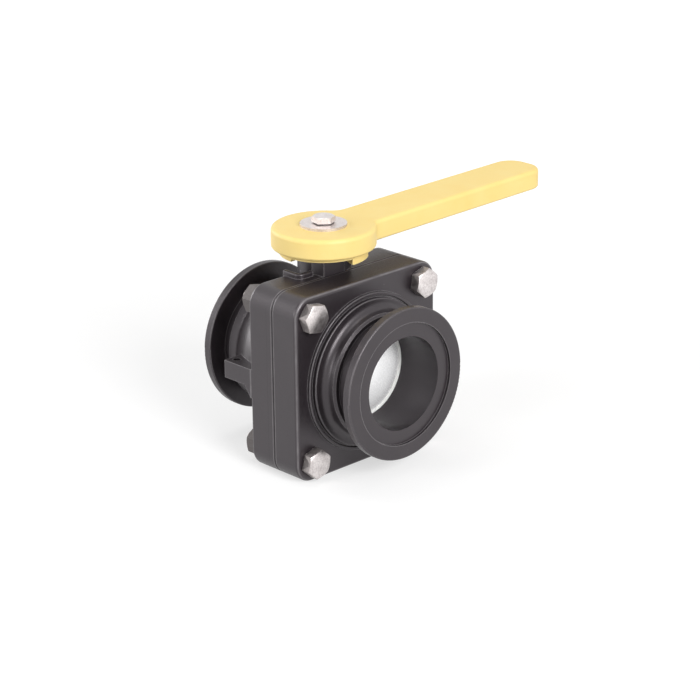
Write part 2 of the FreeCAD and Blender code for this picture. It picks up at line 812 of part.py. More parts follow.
def placed(item, along=0.0, up=0.0, tilt=0.0, right=0.0, spin=0.0):
    """Puts a primitive at a place that follows the sheet; tilt turns it about X, spin about its axis."""
    turn = Rotation(Vector(1, 0, 0), tilt).multiply(Rotation(Vector(0, 0, 1), spin))
    item.Placement = Placement(Vector(0, 0, 0), turn)
    for axis, value in (("x", right), ("y", along), ("z", up)):
        value = Dim.of(value)
        item.setExpression("Placement.Base." + axis, value.text)
    return item


def cylinder(name, radius, height):
    item = doc.addObject("Part::Cylinder", name)
    bind(item, "Radius", radius)
    bind(item, "Height", height)
    return item


def cut(name, base, *tools):
    """Base without the tools."""
    tool = tools[0]
    if len(tools) > 1:
        tool = doc.addObject("Part::MultiFuse", name + "_tools")
        tool.Shapes = list(tools)
    item = doc.addObject("Part::Cut", name)
    item.Base = base
    item.Tool = tool
    item.Label = name
    return item


def ring(name, inner, outer, height):
    """A flat washer standing on its own XY plane."""
    hole = cylinder(name + "_hole", inner, height + size("overlap") * 2)
    placed(hole, up=-size("overlap"))
    return cut(name, cylinder(name + "_disc", outer, height), hole)


def torus(name, middle, cord):
    item = doc.addObject("Part::Torus", name)
    bind(item, "Radius1", middle)
    bind(item, "Radius2", cord / 2)
    item.Label = name
    return item


def make_seat(name, side):
    """A seat ring round the flow axis, hollowed to the ball; side is -1 in front, 1 behind."""
    outer = cylinder(name + "_blank", seat_radius(), size("seat_length"))
    inner = cylinder(name + "_bore", size("bore") / 2, seat_back() + size("overlap"))
    ball = doc.addObject("Part::Sphere", name + "_hollow")
    bind(ball, "Radius", size("ball_width") / 2 + size("seat_fit"))
    placed(outer, up=seat_back() - size("seat_length"))
    seat = cut(name, outer, inner, ball)
    return placed(seat, up=half_side(), tilt=-90.0 * side)


def make_seat_ring(name, side):
    item = torus(name, seat_ring_radius(), size("seat_ring_cord") - size("ring_fit"))
    middle = seat_back() + size("ring_fit") + size("seat_ring_cord") / 2
    return placed(item, along=signed(side, middle), up=half_side(), tilt=90.0)


def make_joint_ring():
    item = torus("joint_oring", joint_ring_radius(), size("joint_ring_cord") - size("ring_fit"))
    middle = -size("split_distance") - size("joint_ring_cord") / 2
    return placed(item, along=middle, up=half_side(), tilt=90.0)


def make_stem_ring(name, height):
    cord = stem_ring_cord()
    middle = size("stem_width") / 2 - size("stem_groove") + size("ring_fit") + cord / 2
    return placed(torus(name, middle, cord), up=half_side() + height)


def make_thrust_washer():
    item = ring("stem_thrust_washer", size("stem_width") / 2 + size("stem_fit"),
                size("collar_width") / 2, size("thrust_height"))
    return placed(item, up=half_side() + collar_top() + size("thrust_fit"))


def make_insert():
    item = ring("stem_insert", size("screw_width") / 2 + size("screw_play"),
                size("insert_width") / 2, size("insert_length"))
    return placed(item, up=half_side() + drive_top() - size("insert_length"))


# Fasteners

def hexagon(name, flats, height):
    """A hexagon standing on its own XY plane, with the corners of its free end turned down."""
    prism = doc.addObject("Part::Prism", name + "_hexagon")
    prism.Polygon = 6
    bind(prism, "Circumradius", flats / math.sqrt(3.0))
    bind(prism, "Height", height)
    cone = doc.addObject("Part::Cone", name + "_turning")
    end = flats / 2 * size("head_chamfer")
    bind(cone, "Radius1", end + height * size("head_slope"))
    bind(cone, "Radius2", end)
    bind(cone, "Height", height)
    item = doc.addObject("Part::Common", name + "_head")
    item.Base = prism
    item.Tool = cone
    return item


def screw(name, flats, head, width, length):
    """A hexagon screw whose shank points down from its own XY plane."""
    top = hexagon(name, flats, head)
    shank = cylinder(name + "_shank", width / 2, length)
    placed(shank, up=-length)
    point = doc.addObject("Part::Chamfer", name + "_point")
    point.Base = shank
    point.Edges = [(3, (width / 8).number, (width / 8).number)]
    item = doc.addObject("Part::Fuse", name)
    item.Base = top
    item.Tool = point
    return item


def group(name, items):
    item = doc.addObject("Part::Compound", name)
    item.Links = items
    item.Label = name
    return item


HEAD_TURNS = {(-1, 1): 80.0, (-1, -1): 109.3, (1, 1): 108.2, (1, -1): 95.0}
NUT_TURN = 12.0


def make_bolts():
    face = -(size("split_distance") + size("front_plate"))
    items = []
    for index, (sign_x, sign_z, reach) in enumerate(bolt_places()):
        item = screw("body_bolt_%d" % (index + 1), size("bolt_flats"), size("bolt_head"),
                     size("bolt_width"), size("bolt_length"))
        items.append(placed(item, right=signed(sign_x, reach), along=face,
                            up=half_side() + signed(sign_z, reach), tilt=90.0,
                            spin=HEAD_TURNS[(sign_x, sign_z)]))
    return group("body_bolts", items)


def make_nuts():
    back = plate_back()
    items = []
    for index, (sign_x, sign_z, reach) in enumerate(bolt_places()):
        name = "body_nut_%d" % (index + 1)
        hole = cylinder(name + "_hole", size("bolt_width") / 2 + size("thread_room"),
                        size("nut_height") + size("overlap") * 2)
        placed(hole, up=-size("overlap"))
        item = cut(name, hexagon(name, size("bolt_flats"), size("nut_height")), hole)
        items.append(placed(item, right=signed(sign_x, reach), along=back,
                            up=half_side() + signed(sign_z, reach), tilt=-90.0,
                            spin=NUT_TURN * (index + 1)))
    return group("body_nuts", items)


def make_handle_fastening():
    hole = size("screw_width") / 2 + size("screw_play")
    seat = half_side() + hub_top()
    washer = placed(ring("handle_washer", hole, size("washer_width") / 2, size("washer_height")), up=seat)

    coil = ring("lock_ring", hole, size("lock_width") / 2, size("lock_height"))
    split = doc.addObject("Part::Box", "lock_split")
    bind(split, "Length", size("lock_width"))
    bind(split, "Width", size("lock_gap"))
    bind(split, "Height", size("lock_height") + size("overlap") * 2)
    placed(split, along=-size("lock_gap") / 2, up=-size("overlap"))
    lock = placed(cut("handle_lock_washer", coil, split), up=seat + size("washer_height"), spin=50.0)

    bolt = screw("handle_bolt", size("screw_flats"), size("screw_head"), size("screw_width"),
                 size("screw_length"))
    placed(bolt, up=seat + size("washer_height") + size("lock_height"), spin=22.0)
    return [washer, lock, bolt]


# Handle

def add_tab(body):
    """The stop tab: a ring under the step, cut back to the sector between its two stopping ends."""
    near = size("boss_width") / 2 + size("tab_play")
    far = near + size("tab_wall")
    low = step_base() - size("tab_drop")
    sketch = new_sketch(body, "tab_circles", "XY_Plane", low)
    add_circle(sketch, far)
    add_circle(sketch, near)
    pad(body, "tab_ring", sketch, size("tab_drop") + size("overlap"))

    slant = size("wall_slant")
    gap = size("tab_gap") * (slant * slant + 1).sqrt()
    wide, end = size("hub_width"), -size("tab_end")
    waste = [(0, 0), (end.cos() * wide * 2, end.sin() * wide * 2), (wide * 2, wide), (-wide, wide),
             (-wide, -wide), (wall_face(wide, gap), -wide), (wall_face(Dim.of(0), gap), 0)]
    sketch = new_sketch(body, "tab_waste_outline", "XY_Plane", step_base())
    add_polygon(sketch, waste)
    return pocket(body, "tab_ends", sketch, size("tab_drop"))


def add_lip(body):
    """A low lip under the edge of the step, on the side away from the lever."""
    corner = (size("wall_left") * size("wall_left") + size("split_distance") * size("split_distance")).sqrt()
    near = corner + size("lip_play")
    low, high = step_base() - size("lip_drop"), step_base() + size("overlap")
    sketch = new_sketch(body, "lip_outline", "XZ_Plane")
    add_rectangle(sketch, -near - size("lip_wall"), -near, low, high)
    return turned(body, "lip", "Revolution", sketch, "V_Axis", size("lip_span"), backwards=True)


def core_cells(top, low):
    """Outlines of the cells under the lever, seen from the side; their roof follows the lever."""
    start, end = size("core_start"), size("lever_reach") - size("core_tip")
    rib = size("core_rib")
    pitch = (end - start + rib) / CORE_CELLS
    hub, reach = size("hub_width") / 2, size("lever_reach")
    slope = size("tip_rise") / (reach - hub)
    cells = []
    for index in range(CORE_CELLS):
        left = start + pitch * index
        right = left + pitch - rib
        roof = [top - size("core_skin") + (place - hub) * slope for place in (left, right)]
        cells.append([(left, low), (right, low), (right, roof[1]), (left, roof[0])])
    return cells


def add_lever(body):
    """The lever with its slight rise, rounded tip and taper."""
    base, top = hub_base(), hub_top()
    hub, reach = size("hub_width") / 2, size("lever_reach")
    half, tip = size("lever_width") / 2, size("tip_width") / 2
    rise = size("tip_rise")
    sketch = new_sketch(body, "lever_outline", "XY_Plane", base)
    add_polygon(sketch, [(0, -half), (reach, -tip), (reach, tip), (0, half)])
    pad(body, "lever", sketch, size("hub_height") + rise)
    above, below = top + rise + size("overlap"), base - size("overlap")
    sketch = new_sketch(body, "lever_top_outline", "XZ_Plane")
    add_polygon(sketch, [(-hub, top), (hub, top), (reach, top + rise), (reach + hub, top + rise),
                         (reach + hub, above), (-hub, above)])
    pocket(body, "lever_top", sketch, size("hub_width") * 2, both=True)
    sketch = new_sketch(body, "lever_under_outline", "XZ_Plane")
    add_polygon(sketch, [(hub, base), (reach, base + rise), (reach + hub, base + rise),
                         (reach + hub, below), (hub, below)])
    under = pocket(body, "lever_under", sketch, size("hub_width") * 2, both=True)

    def tip_edge(edge):
        return runs_along(edge, 2) and spots_on(edge)[1].x > reach.number - 1e-3
    return round_edges(body, "tip_corners", under, tip_edge, size("tip_corner"))


def add_hub(body):
    """The hub, blended into the lever, with rounded upper and lower edges."""
    base, top = hub_base(), hub_top()
    hub, reach = size("hub_width") / 2, size("lever_reach")
    sketch = new_sketch(body, "hub_circle", "XY_Plane", base)
    add_circle(sketch, hub)
    hubbed = pad(body, "hub", sketch, size("hub_height"))

    def blend_edge(edge):
        place = spots_on(edge)[1]
        on_hub = abs(math.hypot(place.x, place.y) - hub.number) < 1e-3
        return runs_along(edge, 2) and on_hub and place.x > 0 and edge.Length > 1.0
    blended = round_edges(body, "lever_blend_round", hubbed, blend_edge, size("lever_blend"))
    slope = size("tip_rise").number / (reach - hub).number

    def rise_at(place):
        return slope * max(0.0, place.x - hub.number)

    def upper_edge(edge):
        return not runs_along(edge, 1) and all(
            abs(place.z - top.number - rise_at(place)) < 0.05 for place in spots_on(edge))

    def lower_edge(edge):
        return not runs_along(edge, 1) and all(
            abs(place.z - base.number - rise_at(place)) < 0.05 for place in spots_on(edge))
    rounded = round_edges(body, "top_round", blended, upper_edge, size("hub_edge"))
    return round_edges(body, "under_round", rounded, lower_edge, size("under_edge"))


def make_handle():
    """Hub, step, stop tab, lip, lever, drive socket and bolt hole."""
    body = new_body("handle")
    add_lever(body)
    add_hub(body)
    sketch = new_sketch(body, "core_outline", "XZ_Plane")
    for cell in core_cells(hub_top(), hub_base() - size("overlap")):
        add_polygon(sketch, cell)
    pocket(body, "core", sketch, size("tip_width") - size("core_wall") * 2, both=True)

    sketch = new_sketch(body, "step_circle", "XY_Plane", step_base())
    add_circle(sketch, size("step_width") / 2)
    pad(body, "step", sketch, size("step_height") + size("overlap"))
    add_tab(body)
    add_lip(body)

    side = size("drive_side") / 2 + size("drive_fit")
    socket_top = drive_top() + size("socket_room")
    sketch = new_sketch(body, "socket_outline", "XY_Plane", step_base())
    add_rectangle(sketch, -side, side, -side, side)
    pocket(body, "socket", sketch, socket_top - step_base(), backwards=True)
    sketch = new_sketch(body, "web_hole_circle", "XY_Plane", hub_top())
    add_circle(sketch, size("web_hole") / 2)
    pocket(body, "web_hole_cut", sketch, hub_top() - socket_top + size("overlap"))
    return body


def check(parts):
    """Stops before anything is written if an object failed."""
    for item in doc.Objects:
        if "Invalid" in item.State or "Error" in item.State:
            raise ValueError("%s failed: %s" % (item.Name, item.State))
    for item in parts:
        shape = item.Shape
        if shape.isNull() or not shape.isValid() or not shape.Solids:
            raise ValueError("%s has no valid solid" % item.Label)


def main():
    fill_sheet()
    parts = [make_body_rear(), make_body_front(), make_ball(), make_stem()]
    parts += [make_seat("seat_ring_front", -1), make_seat("seat_ring_rear", 1)]
    parts += [make_seat_ring("seat_oring_front", -1), make_seat_ring("seat_oring_rear", 1)]
    parts += [make_joint_ring(), make_thrust_washer(), make_insert()]
    parts += [make_stem_ring("stem_oring_lower", lower_ring()),
              make_stem_ring("stem_oring_upper", upper_ring())]
    parts += [make_handle()]
    parts += make_handle_fastening()
    parts += [make_bolts(), make_nuts()]
    doc.recompute()
    check(parts)
    os.makedirs("parts", exist_ok=True)
    for item in parts:
        item.Shape.exportStep("parts/%s.step" % item.Label)
        box = item.Shape.BoundBox
        print("%-20s solids %d  volume %9.1f  x %.1f..%.1f  y %.1f..%.1f  z %.1f..%.1f" % (
            item.Label, len(item.Shape.Solids), item.Shape.Volume, box.XMin, box.XMax, box.YMin,
            box.YMax, box.ZMin, box.ZMax))


main()
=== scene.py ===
import json
import math

import bmesh
import bpy
from mathutils import Matrix, Vector


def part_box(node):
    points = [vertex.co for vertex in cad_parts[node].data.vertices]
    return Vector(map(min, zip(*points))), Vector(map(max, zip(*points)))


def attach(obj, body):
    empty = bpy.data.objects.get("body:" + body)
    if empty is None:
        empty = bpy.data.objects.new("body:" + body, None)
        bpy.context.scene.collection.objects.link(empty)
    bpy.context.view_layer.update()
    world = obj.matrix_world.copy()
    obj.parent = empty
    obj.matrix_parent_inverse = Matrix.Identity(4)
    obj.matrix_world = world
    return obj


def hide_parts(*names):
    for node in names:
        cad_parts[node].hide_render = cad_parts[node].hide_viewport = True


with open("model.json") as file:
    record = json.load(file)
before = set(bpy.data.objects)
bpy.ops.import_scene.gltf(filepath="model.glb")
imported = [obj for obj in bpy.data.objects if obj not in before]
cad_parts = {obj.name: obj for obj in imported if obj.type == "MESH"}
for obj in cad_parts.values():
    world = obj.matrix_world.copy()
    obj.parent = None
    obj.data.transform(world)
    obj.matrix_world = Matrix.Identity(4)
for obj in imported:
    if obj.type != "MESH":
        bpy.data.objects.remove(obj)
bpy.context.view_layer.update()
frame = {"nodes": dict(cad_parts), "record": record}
nodes = frame["nodes"]

MM = 0.001

# The CAD model, where its looks and the bolts follow it
AXIS_HEIGHT = 50.8 * MM
PLATE_HALF = 50.8 * MM
PLATE_CORNER = 10.5 * MM
PLATE_EDGE = 2.0 * MM
PLATE_FRONT = -32.2 * MM
PLATE_BACK = 3.8 * MM
JOINT = -14.3 * MM
PORT_WALL = 26.0 * MM
BOLT_REACH = 40.1 * MM
BOLT_RADIUS = 4.7625 * MM

# Thread behind the nuts, and the turn of each bolt head in degrees by its side and level
THREAD_PITCH = 1.5875 * MM
THREAD_DEPTH = 0.75 * MM
TAIL_START = 11.9 * MM
TAIL_ROWS = 28
TAIL_COLUMNS = 40
HEAD_TURNS = {(-1, 1): 30.0, (-1, -1): -32.3, (1, 1): -29.2, (1, -1): 0.0}
WELD_DISTANCE = 1e-7
SHARP_ANGLE = 20.0

# Lines on the plates: painted shade in the bottom of the joint, and painted highlights on the
# rounded edges beside the joint and along the plates. Each fade is where a mask starts and ends;
# SKIN is the room that a mask leaves over the surface.
SKIN = 0.05 * MM
MOULD_LINE = -9.9 * MM
MOULD_LINE_DEPTH = 0.2 * MM
MOULD_LINE_FADE = (0.10 * MM, 0.22 * MM)
JOINT_DEPTH = 0.9 * MM
JOINT_EDGE = 0.95 * MM
JOINT_SHADE_FADE = (0.38 * MM, 0.60 * MM)
JOINT_HIGHLIGHT_FADE = (0.15 * MM, 0.40 * MM)
PLATE_HIGHLIGHT_FADE = (0.8 * MM, 1.3 * MM)
HIGHLIGHT_STRENGTH = 0.9
HIGHLIGHT_BREAKS = 0.45

# Noise scales, in features to the metre, and the detail and roughness of coarse noise
COARSE = {"detail": 3.0, "roughness": 0.6}
CLOUD_SCALE = 55.0
WAVE_SCALE = 120.0
BREAK_SCALE = 140.0
GRAIN_SCALE = 1500.0
SPECK_SCALE = 180.0
STREAK_SCALE = 60.0
SPOT_SCALE = 900.0
STEEL_CLOUD_SCALE = 330.0
PIT_SCALE = 1100.0
STEEL_GRAIN_SCALE = 2400.0
PAPER_SCALE = 30.0

# Moulded plastic
CLOUD_SHARE = 0.7
# The lighter edges within this reach are wear and a painted highlight
WEAR_AND_HIGHLIGHT_REACH = 0.8 * MM
WEAR_AND_HIGHLIGHT_FADE = (0.93, 0.995)
SPECK_SIZE = 0.065
SPECK_SHARE = 0.3
SPECK_STRENGTH = 0.6
# Darkens the low colour for the painted shade in the joint and for the mould line
JOINT_DARKENING = 0.4
ROUGHNESS_SPREAD = 0.06
WAVE_HEIGHT = 0.12 * MM

# Linear colours: the two that mottle a plastic, and that of its lighter edges, which is wear and a
# painted highlight
BLACK = ((0.012, 0.009, 0.011), (0.020, 0.016, 0.0185), (0.17, 0.16, 0.165))
BLACK_SHEEN = (1.0, 0.93, 0.975)
YELLOW = ((0.93, 0.69, 0.23), (0.95, 0.74, 0.285), (0.96, 0.78, 0.35))
BALL_WHITE = ((0.935, 0.935, 0.94), (0.955, 0.955, 0.96), (0.96, 0.96, 0.96))
SEAT_WHITE = ((0.78, 0.78, 0.76), (0.85, 0.85, 0.83), (0.9, 0.9, 0.88))
RUBBER = ((0.02, 0.02, 0.02), (0.035, 0.035, 0.035), (0.05, 0.05, 0.05))

# Linear colours of steel: a pair for the ends, lighter as a painted highlight, and a pair for the
# flats, darker as painted shade
BODY_BOLT_STEEL = (((0.52, 0.475, 0.47), (0.80, 0.755, 0.745)),
                   ((0.29, 0.265, 0.26), (0.38, 0.35, 0.345)))
# The nuts: darker all over, as painted shade
SHADED_NUT_STEEL = (((0.26, 0.235, 0.232), (0.36, 0.33, 0.325)),
             ((0.115, 0.105, 0.104), (0.16, 0.146, 0.145)))
HANDLE_BOLT_STEEL = (((0.62, 0.57, 0.555), (0.78, 0.74, 0.725)),
                     ((0.58, 0.52, 0.50), (0.76, 0.70, 0.68)))
WASHER_STEEL = (((0.62, 0.56, 0.54), (0.76, 0.71, 0.69)),
                ((0.52, 0.46, 0.44), (0.68, 0.62, 0.60)))
# The lock washer: dark all over, as painted shade under the bolt head
SHADED_LOCK_WASHER_STEEL = (((0.2, 0.18, 0.17), (0.3, 0.27, 0.26)),
                     ((0.10, 0.09, 0.09), (0.16, 0.14, 0.14)))
INSERT_STEEL = ((0.5, 0.49, 0.47), (0.6, 0.59, 0.57))

# Steel; the spread is how far the roughness goes below and above its middle
END_FADE = (0.7, 0.98)
PATCH_FADE = (0.35, 0.65)
STEEL_CLOUD_SHARE = 0.4
END_ROUGHNESS = (0.30, 0.42)
FLAT_DULLING = 0.22
DENT_HEIGHT = 0.03 * MM
STEEL_GRAIN_HEIGHT = 0.01 * MM
STREAK_HEIGHT = 0.02 * MM
STREAK_SPREAD = (0.08, 0.1)

# Stage
WHITE = (1.0, 1.0, 1.0)
WORLD_LIGHT = 0.33
FLOOR_RADIUS = 8.0
FLOOR_SEGMENTS = 96
FLOOR_DROP = 0.05 * MM
FLOOR_COLOURS = ((0.44, 0.44, 0.44), (0.46, 0.46, 0.46))
FLOOR_GLOW = (0.6, 1.0)
FLOOR_GLOW_FADE = (0.3, 1.0)
LAMP_TARGET = (0.03, 0.0, 0.06)
LAMPS = {"left": ((-2.0, 0.55, 0.75), 1.1, 15.0),
         "front": ((-0.35, -2.0, 1.08), 1.2, 43.5),
         "top": ((0.1, 0.3, 2.0), 1.2, 6.5),
         "back": ((-0.5, 2.1, 0.6), 1.2, 20.0)}

# The photograph's view, fitted to the model: place in millimetres, turns in degrees
CAMERA_PLACE = (-789.44, -843.67, 483.73)
CAMERA_AZIMUTH = -43.754
CAMERA_ELEVATION = 20.410
CAMERA_ROLL = -0.601
CAMERA_LENS = 118.184
CAMERA_SENSOR = 36.0
CAMERA_REACH = 50.0


# Materials

class Nodes:
    """A node tree and the few kinds of node that the looks are made of."""

    def __init__(self, tree):
        self.tree = tree

    def node(self, kind, **values):
        made = self.tree.nodes.new(kind)
        for name, value in values.items():
            setattr(made, name, value)
        return made

    def link(self, start, end):
        self.tree.links.new(start, end)

    def fill(self, socket, value):
        """Gives a socket a number, a colour or a link."""
        if isinstance(value, (int, float)):
            socket.default_value = value
        elif isinstance(value, tuple):
            socket.default_value = (*value, 1.0)
        else:
            self.link(value, socket)

    def maths(self, operation, first, second):
        made = self.node("ShaderNodeMath", operation=operation)
        self.fill(made.inputs[0], first)
        self.fill(made.inputs[1], second)
        return made.outputs[0]

    def distance(self, first, second):
        return self.maths("ABSOLUTE", self.maths("SUBTRACT", first, second), 0.0)

    def mixed(self, first, second, share):
        """A share of the first value and the rest of the second."""
        return self.maths("ADD", self.maths("MULTIPLY", first, share),
                          self.maths("MULTIPLY", second, 1.0 - share))

    def length(self, vector):
        made = self.node("ShaderNodeVectorMath", operation="LENGTH")
        self.link(vector, made.inputs[0])
        return made.outputs["Value"]

    def split(self, vector):
        """The sockets X, Y and Z of a vector."""
        made = self.node("ShaderNodeSeparateXYZ")
        self.link(vector, made.inputs["Vector"])
        return made.outputs

    def span(self, value, low, high, start=0.3, end=0.7):
        """Maps start..end, by default a noise's usual range, to low..high."""
        made = self.node("ShaderNodeMapRange")
        made.inputs["From Min"].default_value = start
        made.inputs["From Max"].default_value = end
        made.inputs["To Min"].default_value = low
        made.inputs["To Max"].default_value = high
        self.link(value, made.inputs["Value"])
        return made.outputs["Result"]

    def blend(self, share, first, second):
        """Colour from first to second; each is a colour or a socket."""
        made = self.node("ShaderNodeMix", data_type="RGBA")
        self.link(share, made.inputs["Factor"])
        colours = [socket for socket in made.inputs if socket.type == "RGBA"]
        self.fill(colours[0], first)
        self.fill(colours[1], second)
        return next(socket for socket in made.outputs if socket.type == "RGBA")

    def light_level(self, shown, lighting):
        """shown for camera, glossy and transmission rays, lighting for the rest."""
        rays = self.node("ShaderNodeLightPath").outputs
        seen = self.maths("MAXIMUM", rays["Is Camera Ray"], rays["Is Glossy Ray"])
        seen = self.maths("MAXIMUM", seen, rays["Is Transmission Ray"])
        return self.span(seen, lighting, shown, 0.0, 1.0)


class Paint(Nodes):
    """A material with one Principled shader, painted by place on the object."""

    def __init__(self, name):
        self.material = bpy.data.materials.new(name)
        self.material.use_nodes = True
        super().__init__(self.material.node_tree)
        self.shader = self.tree.nodes["Principled BSDF"]
        self.place = self.node("ShaderNodeTexCoord").outputs["Object"]

    def set(self, name, value):
        self.fill(self.shader.inputs[name], value)

    def noise(self, scale, detail=2.0, roughness=0.5, place=None):
        made = self.node("ShaderNodeTexNoise")
        made.inputs["Scale"].default_value = scale
        made.inputs["Detail"].default_value = detail
        made.inputs["Roughness"].default_value = roughness
        self.link(place or self.place, made.inputs["Vector"])
        return made.outputs["Fac"]

    def stretched(self, scale):
        """The place on the object, drawn out along the axes."""
        made = self.node("ShaderNodeMapping")
        made.inputs["Scale"].default_value = scale
        self.link(self.place, made.inputs["Vector"])
        return made.outputs["Vector"]

    def bump(self, height, distance, strength=1.0, normal=None):
        made = self.node("ShaderNodeBump")
        made.inputs["Strength"].default_value = strength
        made.inputs["Distance"].default_value = distance
        self.link(height, made.inputs["Height"])
        if normal is not None:
            self.link(normal, made.inputs["Normal"])
        self.link(made.outputs["Normal"], self.shader.inputs["Normal"])
        return made.outputs["Normal"]

    def edge_mask(self, radius, start, end):
        """1 on flat ground, towards 0 within a radius of an edge."""
        rounded = self.node("ShaderNodeBevel", samples=4)
        rounded.inputs["Radius"].default_value = radius
        plain = self.node("ShaderNodeNewGeometry").outputs["Normal"]
        dot = self.node("ShaderNodeVectorMath", operation="DOT_PRODUCT")
        self.link(rounded.outputs["Normal"], dot.inputs[0])
        self.link(plain, dot.inputs[1])
        return self.span(dot.outputs["Value"], 0.0, 1.0, start, end)

    def facing(self, axis):
        """How squarely the surface faces along an axis of the object, 0 to 1."""
        normal = self.node("ShaderNodeTexCoord").outputs["Normal"]
        return self.distance(self.split(normal)[axis], 0.0)

    def specks(self, scale, size, share):
        """Small round specks on some of the cells of a grid."""
        cells = self.node("ShaderNodeTexVoronoi")
        cells.inputs["Scale"].default_value = scale
        self.link(self.place, cells.inputs["Vector"])
        draw = self.node("ShaderNodeSeparateColor")
        self.link(cells.outputs["Color"], draw.inputs["Color"])
        chosen = self.maths("LESS_THAN", draw.outputs["Red"], share)
        near = self.span(cells.outputs["Distance"], 1.0, 0.0, size / 2, size)
        return self.maths("MULTIPLY", near, chosen)

    def mould_line(self):
        """1 on the line that the mould left on the sides of the rear plate."""
        place = self.split(self.place)
        near = self.span(self.distance(place["Y"], MOULD_LINE), 1.0, 0.0, *MOULD_LINE_FADE)
        side = self.distance(place["X"], 0.0)
        outer = self.maths("GREATER_THAN", side, PLATE_HALF - MOULD_LINE_DEPTH)
        return self.maths("MULTIPLY", near, outer)

    def in_port(self):
        """1 on the walls of the ports, whose edges stay sharp, with neither the lighter wear nor
        the painted highlight.
        """
        across = self.node("ShaderNodeVectorMath", operation="MULTIPLY_ADD")
        self.link(self.place, across.inputs[0])
        across.inputs[1].default_value = (1.0, 0.0, 1.0)
        across.inputs[2].default_value = (0.0, 0.0, -AXIS_HEIGHT)
        return self.maths("LESS_THAN", self.length(across.outputs["Vector"]), PORT_WALL)

    def outward(self):
        """How far out a place lies on the plates, counted round their corners, and its y."""
        place = self.split(self.place)
        start = PLATE_HALF - PLATE_CORNER
        squares = []
        for axis, middle in (("X", 0.0), ("Z", AXIS_HEIGHT)):
            away = self.distance(place[axis], middle)
            beyond = self.maths("MAXIMUM", self.maths("SUBTRACT", away, start), 0.0)
            squares.append(self.maths("MULTIPLY", beyond, beyond))
        beyond = self.maths("SQRT", self.maths("ADD", *squares), 0.0)
        return self.maths("ADD", beyond, start), place["Y"]

    def plate_lines(self):
        """Masks of the painted shade in the joint's bottom and of the painted highlights on the
        rounded edges of the plates and beside the joint.
        """
        out, along = self.outward()
        shallow = self.maths("GREATER_THAN", out, PLATE_HALF - JOINT_DEPTH)
        side = self.maths("MULTIPLY", shallow, self.maths("LESS_THAN", out, PLATE_HALF + SKIN))
        away = self.distance(along, JOINT)
        joint_shade = self.maths("MULTIPLY", self.span(away, 1.0, 0.0, *JOINT_SHADE_FADE), side)
        joint_highlight = self.span(self.distance(away, JOINT_EDGE), HIGHLIGHT_STRENGTH, 0.0, *JOINT_HIGHLIGHT_FADE)
        edges = self.maths("MULTIPLY", joint_highlight, side)
        over = self.maths("SUBTRACT", out, PLATE_HALF - PLATE_EDGE)
        flush = self.maths("LESS_THAN", over, PLATE_EDGE + SKIN)
        for past in (self.maths("SUBTRACT", PLATE_FRONT + PLATE_EDGE, along),
                     self.maths("SUBTRACT", along, PLATE_BACK - PLATE_EDGE)):
            inner = self.maths("MINIMUM", over, past)
            band = self.span(inner, 0.0, HIGHLIGHT_STRENGTH, *PLATE_HIGHLIGHT_FADE)
            within = self.maths("LESS_THAN", past, PLATE_EDGE + 2 * SKIN)
            kept = self.maths("MULTIPLY", band, self.maths("MULTIPLY", within, flush))
            edges = self.maths("MAXIMUM", edges, kept)
        breaks = self.span(self.noise(BREAK_SCALE, detail=3.0), HIGHLIGHT_BREAKS, 1.0)
        return joint_shade, self.maths("MULTIPLY", edges, breaks)


def moulded(name, colours, roughness, grain, gloss=0.5, waviness=0.35, lined=False):
    """A moulded plastic: faint mottling, fine grain, slow waves, specks, and lighter edges that
    are wear and a painted highlight; lined plates also get painted shade in the joint and painted
    highlights on their edges.
    """
    low, high, wear_and_highlight = colours
    paint = Paint(name)
    cloud = paint.noise(CLOUD_SCALE, detail=3.0)
    fine = paint.noise(GRAIN_SCALE)
    mottle = paint.mixed(cloud, fine, CLOUD_SHARE)
    colour = paint.blend(paint.span(mottle, 0.0, 1.0), low, high)
    flat = paint.edge_mask(WEAR_AND_HIGHLIGHT_REACH, *WEAR_AND_HIGHLIGHT_FADE)
    if lined:
        flat = paint.maths("MAXIMUM", flat, paint.in_port())
    # Lighter edges: wear and a painted highlight
    colour = paint.blend(flat, wear_and_highlight, colour)
    specks = paint.specks(SPECK_SCALE, SPECK_SIZE, SPECK_SHARE)
    colour = paint.blend(paint.maths("MULTIPLY", specks, SPECK_STRENGTH), colour, wear_and_highlight)
    if lined:
        # Painted shade in the joint's bottom and painted highlights on the plates' rounded edges;
        # the mould line is darkened too
        dark = tuple(value * JOINT_DARKENING for value in low)
        joint_shade, edges = paint.plate_lines()
        colour = paint.blend(edges, colour, wear_and_highlight)
        colour = paint.blend(joint_shade, colour, dark)
        colour = paint.blend(paint.mould_line(), colour, dark)
    paint.set("Base Color", colour)
    spread = (roughness - ROUGHNESS_SPREAD, roughness + ROUGHNESS_SPREAD)
    paint.set("Roughness", paint.span(fine, *spread))
    paint.set("Specular IOR Level", gloss)
    waves = paint.bump(paint.noise(WAVE_SCALE), WAVE_HEIGHT, strength=waviness)
    paint.bump(fine, grain, normal=waves)
    return paint


def turned_steel(name, low, high, roughness, scale):
    """Steel with the streaks of turning or drawing."""
    paint = Paint(name)
    drawn = paint.stretched(scale)
    streaks = paint.noise(STREAK_SCALE, detail=4.0, roughness=0.6, place=drawn)
    spots = paint.noise(SPOT_SCALE)
    paint.set("Base Color", paint.blend(paint.span(spots, 0.0, 1.0), low, high))
    paint.set("Metallic", 1.0)
    below, above = STREAK_SPREAD
    paint.set("Roughness", paint.span(streaks, roughness - below, roughness + above))
    paint.bump(paint.maths("ADD", streaks, spots), STREAK_HEIGHT, strength=0.6)
    return paint


